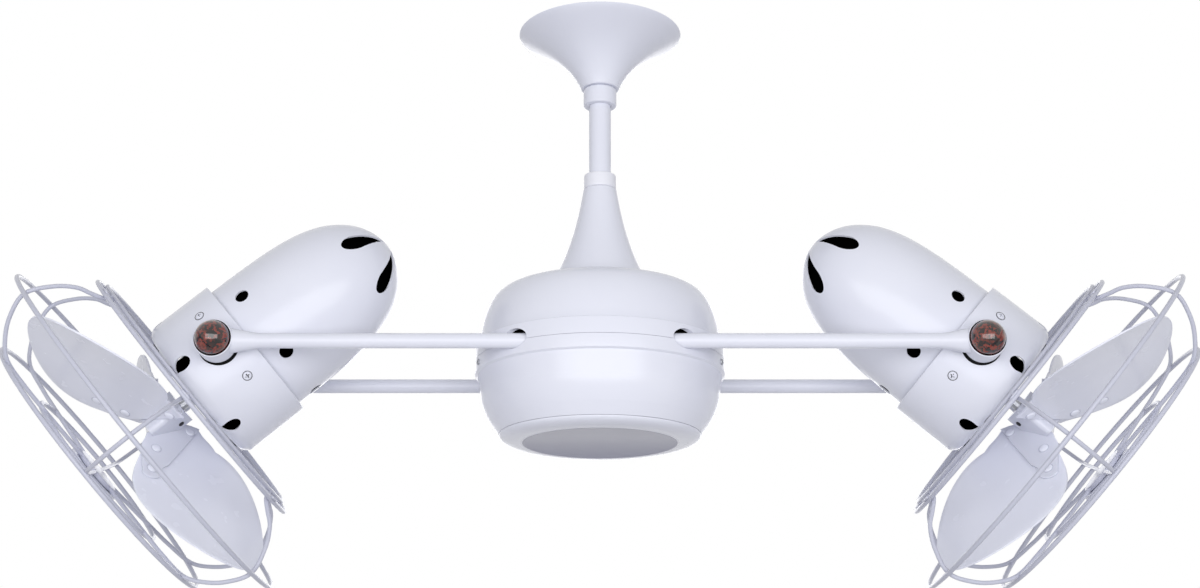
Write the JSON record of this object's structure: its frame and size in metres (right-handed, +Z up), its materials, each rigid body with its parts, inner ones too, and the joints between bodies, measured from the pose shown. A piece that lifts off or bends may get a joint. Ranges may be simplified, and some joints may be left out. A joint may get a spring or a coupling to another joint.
{
  "type": "twin head ceiling fan",
  "caption": "Ceiling fan with a bell canopy, downrod and round housing on fixed arms that carry caged, tilting bullet-shaped fan heads with stone ball knobs.",
  "frame": {"origin": "centre of the ceiling plate's top face, which lies against the ceiling", "axes": "+X along the arms to the right head, +Z up, -Y the front"},
  "size_m": [1.1052, 0.3732, 0.5458],
  "materials": {
    "white_metal": "gloss",
    "white_blade": "gloss",
    "white_collar": "satin",
    "grey_disc": "satin",
    "steel": "satin",
    "cast_aluminium": "cast",
    "motor_body": "painted cast",
    "brass": "turned",
    "black_plastic": "matte",
    "red_stone": "polished speckled stone"
  },
  "bodies": {
    "mount": {"ceiling_bracket": "steel", "canopy": "white_metal", "canopy_collar": "white_metal", "hanger_ball": "black_plastic", "hanger_pin": "steel", "downrod": "white_metal", "neck_collar": "white_collar", "neck_cone": "white_metal", "spindle": "steel", "coupler_pin": "steel", "spindle_nut": "steel", "slip_ring_drum": "brass"},
    "carrier": {"upper_housing": "white_metal", "lower_housing": "white_metal", "bottom_cap": "white_metal", "bottom_disc": "grey_disc", "arm_hub": "cast_aluminium", "upper_bearing": "steel", "lower_bearing": "steel", "brush_holder": "black_plastic", "run_capacitor": "black_plastic", "terminal_block": "black_plastic", "band_screw_1": "steel", "band_screw_2": "steel", "band_screw_3": "steel", "band_screw_4": "steel", "left_front_arm": "white_metal", "left_rear_arm": "white_metal", "right_front_arm": "white_metal", "right_rear_arm": "white_metal"},
    "left_head": {"left_head_collar": "white_metal", "left_motor_shell": "white_metal", "left_motor": "motor_body", "left_motor_bearing": "steel", "left_pivot_frame": "cast_aluminium", "left_back_frame": "white_metal", "left_front_cage": "white_metal", "left_medallion": "white_metal"},
    "left_rotor": {"left_motor_shaft": "steel", "left_blade_bracket": "white_metal", "left_blade_1": "white_blade", "left_blade_2": "white_blade", "left_blade_3": "white_blade"},
    "left_front_knob": {"left_front_knob": "red_stone"},
    "left_rear_knob": {"left_rear_knob": "red_stone"},
    "right_head": {"right_head_collar": "white_metal", "right_motor_shell": "white_metal", "right_motor": "motor_body", "right_motor_bearing": "steel", "right_pivot_frame": "cast_aluminium", "right_back_frame": "white_metal", "right_front_cage": "white_metal", "right_medallion": "white_metal"},
    "right_rotor": {"right_motor_shaft": "steel", "right_blade_bracket": "white_metal", "right_blade_1": "white_blade", "right_blade_2": "white_blade", "right_blade_3": "white_blade"},
    "right_front_knob": {"right_front_knob": "red_stone"},
    "right_rear_knob": {"right_rear_knob": "red_stone"}
  },
  "joints": [
    {"name": "body_spin", "type": "hinge", "parent": "mount", "child": "carrier", "pos_m": [0, 0, -0.3358], "axis": [0, 0, 1], "continuous": true},
    {"name": "left_head_tilt", "type": "hinge", "parent": "carrier", "child": "left_head", "pos_m": [-0.3435, 0, -0.3358], "axis": [0, 1, 0], "range_deg": [-50, 130]},
    {"name": "left_fan_spin", "type": "hinge", "parent": "left_head", "child": "left_rotor", "pos_m": [-0.3435, 0, -0.3358], "axis": [-0.766, 0, -0.6428], "continuous": true},
    {"name": "left_front_knob_turn", "type": "hinge", "parent": "left_head", "child": "left_front_knob", "pos_m": [-0.3435, -0.0995, -0.3358], "axis": [0, -1, 0], "range_deg": [0, 360]},
    {"name": "left_rear_knob_turn", "type": "hinge", "parent": "left_head", "child": "left_rear_knob", "pos_m": [-0.3435, 0.0995, -0.3358], "axis": [0, 1, 0], "range_deg": [0, 360]},
    {"name": "right_head_tilt", "type": "hinge", "parent": "carrier", "child": "right_head", "pos_m": [0.3435, 0, -0.3358], "axis": [0, 1, 0], "range_deg": [-130, 50]},
    {"name": "right_fan_spin", "type": "hinge", "parent": "right_head", "child": "right_rotor", "pos_m": [0.3435, 0, -0.3358], "axis": [0.766, 0, -0.6428], "continuous": true},
    {"name": "right_front_knob_turn", "type": "hinge", "parent": "right_head", "child": "right_front_knob", "pos_m": [0.3435, -0.0995, -0.3358], "axis": [0, -1, 0], "range_deg": [0, 360]},
    {"name": "right_rear_knob_turn", "type": "hinge", "parent": "right_head", "child": "right_rear_knob", "pos_m": [0.3435, 0.0995, -0.3358], "axis": [0, 1, 0], "range_deg": [0, 360]}
  ]
}
